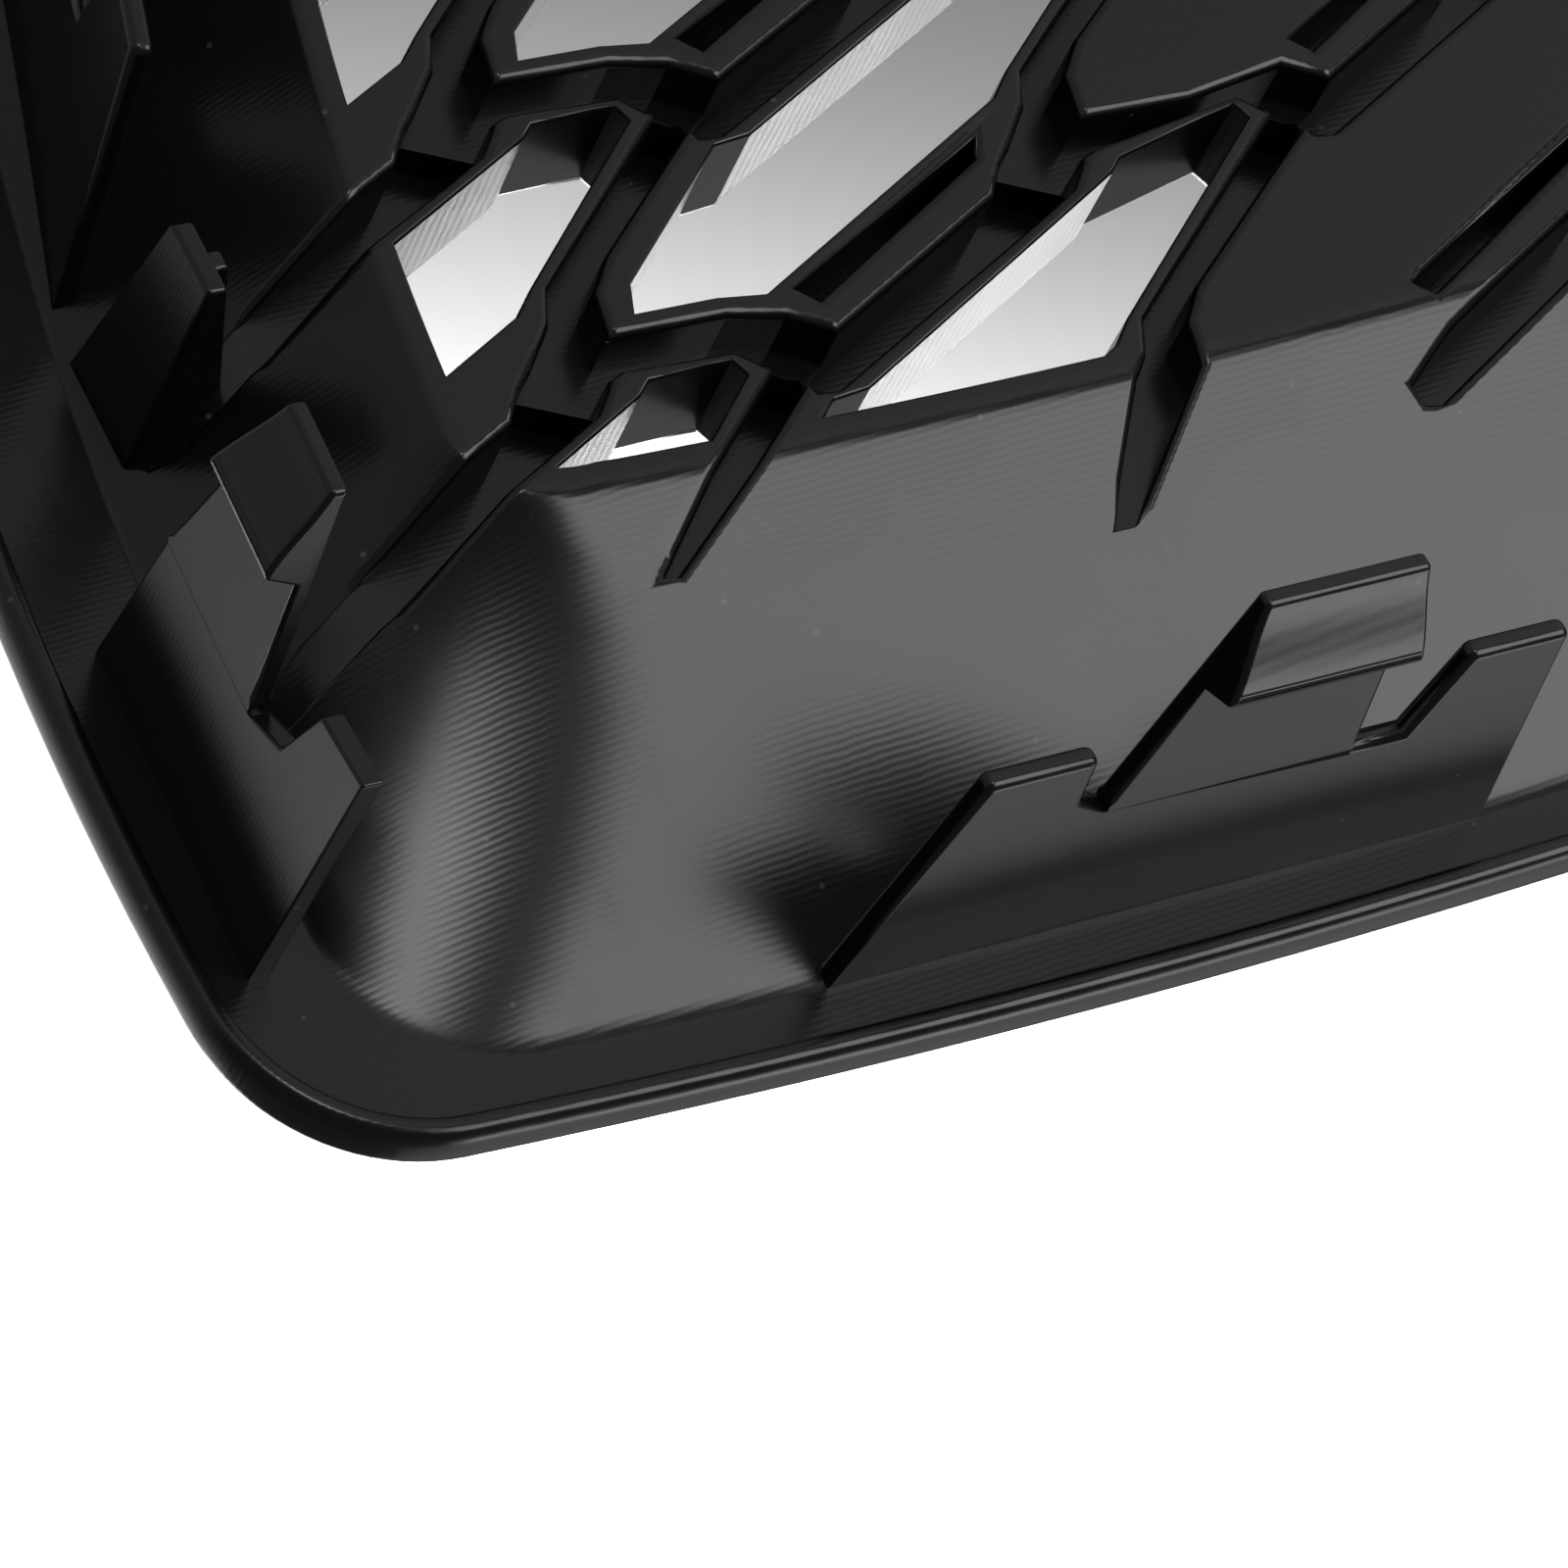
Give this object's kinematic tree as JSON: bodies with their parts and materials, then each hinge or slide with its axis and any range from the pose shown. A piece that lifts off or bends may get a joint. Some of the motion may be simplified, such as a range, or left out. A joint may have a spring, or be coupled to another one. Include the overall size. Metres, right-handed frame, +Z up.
{
  "type": "front grille",
  "caption": "Gloss-black moulded front grille for a car: honeycomb mesh in a sloped band with a rounded rim, and snap tongues on stations around the rear edge.",
  "frame": {"origin": "middle of the lowest edge of the part, halfway through its depth", "axes": "+Z up as fitted to the car, X across it, -Y to the front face, +Y to the rear where the snap stations stand"},
  "size_m": [0.8326, 0.048, 0.205],
  "materials": {
    "gloss_black": "as-moulded gloss",
    "satin_black": "satin",
    "spring_steel": "phosphated",
    "zinc_steel": "zinc plated",
    "foam": "matt cellular foam"
  },
  "bodies": {
    "grille": {"grille_body": "gloss_black", "badge_plate": "satin_black", "badge_push_nuts": "spring_steel", "tab_sleeves": "zinc_steel", "foam_pads": "foam"},
    "snap_tongue_top_1": {"snap_tongue_top_1": "gloss_black"},
    "snap_tongue_top_2": {"snap_tongue_top_2": "gloss_black"},
    "snap_tongue_top_3": {"snap_tongue_top_3": "gloss_black"},
    "snap_tongue_top_4": {"snap_tongue_top_4": "gloss_black"},
    "snap_tongue_top_5": {"snap_tongue_top_5": "gloss_black"},
    "snap_tongue_top_6": {"snap_tongue_top_6": "gloss_black"},
    "snap_tongue_bottom_1": {"snap_tongue_bottom_1": "gloss_black"},
    "snap_tongue_bottom_2": {"snap_tongue_bottom_2": "gloss_black"},
    "snap_tongue_bottom_3": {"snap_tongue_bottom_3": "gloss_black"},
    "snap_tongue_bottom_4": {"snap_tongue_bottom_4": "gloss_black"},
    "snap_tongue_bottom_5": {"snap_tongue_bottom_5": "gloss_black"},
    "snap_tongue_side_upper_left": {"snap_tongue_side_upper_left": "gloss_black"},
    "snap_tongue_side_upper_right": {"snap_tongue_side_upper_right": "gloss_black"},
    "snap_tongue_side_lower_left": {"snap_tongue_side_lower_left": "gloss_black"},
    "snap_tongue_side_lower_right": {"snap_tongue_side_lower_right": "gloss_black"}
  },
  "joints": [
    {"name": "snap_tongue_top_1_flex", "type": "hinge", "parent": "grille", "child": "snap_tongue_top_1", "pos_m": [-0.33664, -0.0018, 0.19589], "axis": [-0.9985, 0, -0.0541], "range_deg": [0, 12], "stiffness_Nm_per_rad": 5},
    {"name": "snap_tongue_top_2_flex", "type": "hinge", "parent": "grille", "child": "snap_tongue_top_2", "pos_m": [-0.2022, -0.0018, 0.19785], "axis": [-1, 0, 0], "range_deg": [0, 12], "stiffness_Nm_per_rad": 5},
    {"name": "snap_tongue_top_3_flex", "type": "hinge", "parent": "grille", "child": "snap_tongue_top_3", "pos_m": [-0.0682, -0.0018, 0.19785], "axis": [-1, 0, 0], "range_deg": [0, 12], "stiffness_Nm_per_rad": 5},
    {"name": "snap_tongue_top_4_flex", "type": "hinge", "parent": "grille", "child": "snap_tongue_top_4", "pos_m": [0.0658, -0.0018, 0.19785], "axis": [-1, 0, 0], "range_deg": [0, 12], "stiffness_Nm_per_rad": 5},
    {"name": "snap_tongue_top_5_flex", "type": "hinge", "parent": "grille", "child": "snap_tongue_top_5", "pos_m": [0.1998, -0.0018, 0.19785], "axis": [-1, 0, 0], "range_deg": [0, 12], "stiffness_Nm_per_rad": 5},
    {"name": "snap_tongue_top_6_flex", "type": "hinge", "parent": "grille", "child": "snap_tongue_top_6", "pos_m": [0.33425, -0.0018, 0.19602], "axis": [-0.9985, 0, 0.0541], "range_deg": [0, 12], "stiffness_Nm_per_rad": 5},
    {"name": "snap_tongue_bottom_1_flex", "type": "hinge", "parent": "grille", "child": "snap_tongue_bottom_1", "pos_m": [-0.2388, -0.0018, 0.00715], "axis": [1, 0, 0], "range_deg": [0, 12], "stiffness_Nm_per_rad": 5},
    {"name": "snap_tongue_bottom_2_flex", "type": "hinge", "parent": "grille", "child": "snap_tongue_bottom_2", "pos_m": [-0.0788, -0.0018, 0.00715], "axis": [1, 0, 0], "range_deg": [0, 12], "stiffness_Nm_per_rad": 5},
    {"name": "snap_tongue_bottom_3_flex", "type": "hinge", "parent": "grille", "child": "snap_tongue_bottom_3", "pos_m": [0.0012, -0.0018, 0.00715], "axis": [1, 0, 0], "range_deg": [0, 12], "stiffness_Nm_per_rad": 5},
    {"name": "snap_tongue_bottom_4_flex", "type": "hinge", "parent": "grille", "child": "snap_tongue_bottom_4", "pos_m": [0.0812, -0.0018, 0.00715], "axis": [1, 0, 0], "range_deg": [0, 12], "stiffness_Nm_per_rad": 5},
    {"name": "snap_tongue_bottom_5_flex", "type": "hinge", "parent": "grille", "child": "snap_tongue_bottom_5", "pos_m": [0.2412, -0.0018, 0.00715], "axis": [1, 0, 0], "range_deg": [0, 12], "stiffness_Nm_per_rad": 5},
    {"name": "snap_tongue_side_upper_left_flex", "type": "hinge", "parent": "grille", "child": "snap_tongue_side_upper_left", "pos_m": [-0.4083, -0.0018, 0.15964], "axis": [0.0819, 0, -0.9966], "range_deg": [0, 12], "stiffness_Nm_per_rad": 3},
    {"name": "snap_tongue_side_upper_right_flex", "type": "hinge", "parent": "grille", "child": "snap_tongue_side_upper_right", "pos_m": [0.4083, -0.0018, 0.15964], "axis": [0.0819, 0, 0.9966], "range_deg": [0, 12], "stiffness_Nm_per_rad": 3},
    {"name": "snap_tongue_side_lower_left_flex", "type": "hinge", "parent": "grille", "child": "snap_tongue_side_lower_left", "pos_m": [-0.38615, -0.0018, 0.089], "axis": [0.3156, 0, -0.9489], "range_deg": [0, 12], "stiffness_Nm_per_rad": 5},
    {"name": "snap_tongue_side_lower_right_flex", "type": "hinge", "parent": "grille", "child": "snap_tongue_side_lower_right", "pos_m": [0.38615, -0.0018, 0.089], "axis": [0.3156, 0, 0.9489], "range_deg": [0, 12], "stiffness_Nm_per_rad": 5}
  ]
}
